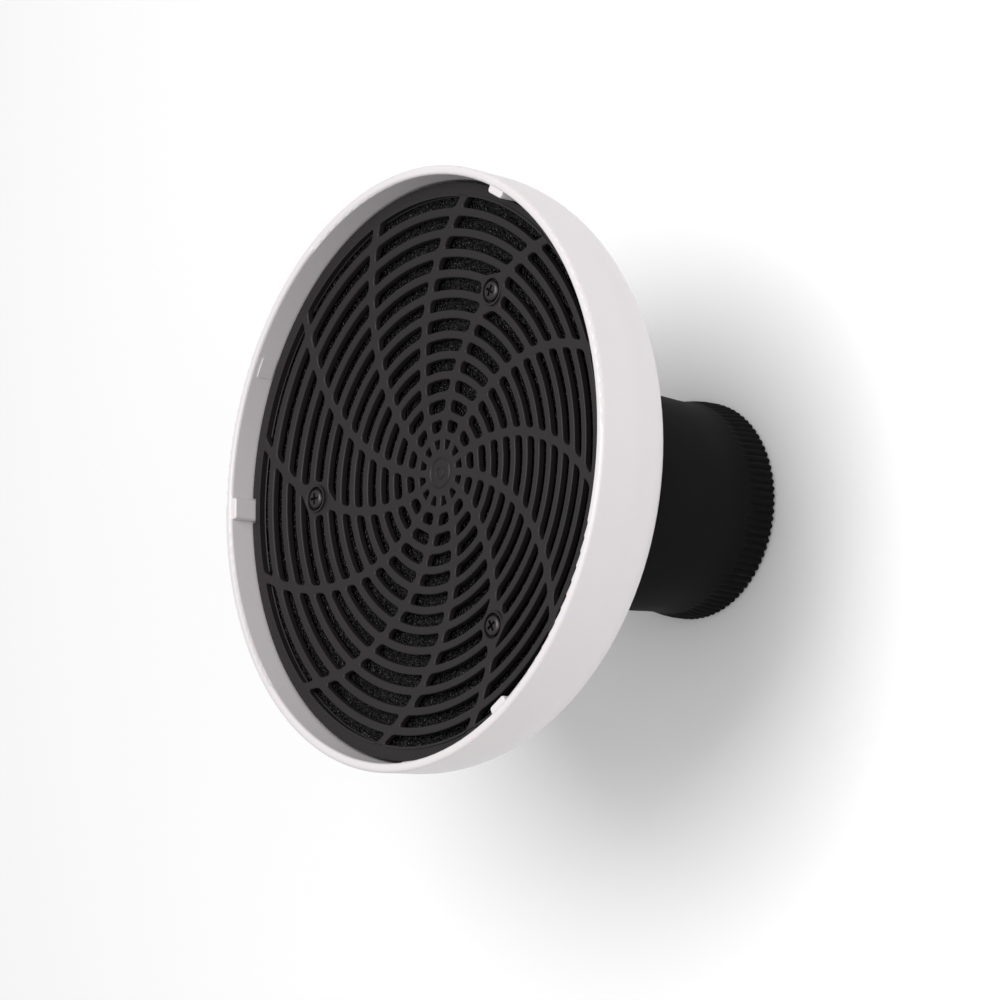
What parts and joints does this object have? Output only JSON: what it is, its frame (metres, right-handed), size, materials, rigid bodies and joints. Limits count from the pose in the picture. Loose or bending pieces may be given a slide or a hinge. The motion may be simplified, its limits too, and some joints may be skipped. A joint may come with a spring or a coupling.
{
  "type": "hair dryer diffuser",
  "caption": "Round bowl-shaped hair dryer diffuser with a dished slotted grille over foam and a swivelling rubber neck that is pushed onto the dryer's barrel.",
  "frame": {"origin": "on the diffuser's axis, in the plane of the neck's open end, on which it stands", "axes": "+Z along the axis from the neck to the open bowl; +Y through one of the three grille screws and its key"},
  "size_m": [0.17, 0.1699, 0.113],
  "materials": {
    "bowl": "satin white moulded ABS",
    "grille": "satin black moulded polypropylene",
    "foam": "open-cell foam",
    "rubber": "matte moulded rubber",
    "inner_plastic": "matte black moulded plastic",
    "black_screw": "black zinc plated steel",
    "steel_screw": "zinc plated steel"
  },
  "bodies": {
    "bowl_body": {"bowl": "bowl", "rear_grid": "inner_plastic", "air_deflector": "inner_plastic", "deflector_screw": "steel_screw", "retaining_ring": "inner_plastic", "ring_screws": "steel_screw"},
    "grille_body": {"front_grille": "grille", "grille_screws": "black_screw"},
    "foam_body": {"foam_disc": "foam"},
    "neck_body": {"neck_core": "inner_plastic", "neck_sleeve": "rubber"}
  },
  "joints": [
    {"name": "neck_turn", "type": "hinge", "parent": "bowl_body", "child": "neck_body", "pos_m": [0, 0, 0.05], "axis": [0, 0, 1], "continuous": true},
    {"name": "grille_lift", "type": "slide", "parent": "bowl_body", "child": "grille_body", "axis": [0, 0, 1], "range_m": [0, 0.06]},
    {"name": "foam_lift", "type": "slide", "parent": "bowl_body", "child": "foam_body", "axis": [0, 0, 1], "range_m": [0, 0.03]}
  ],
  "couplings": [
    {"joint": "foam_lift", "follows": "grille_lift", "ratio": 0.5}
  ]
}
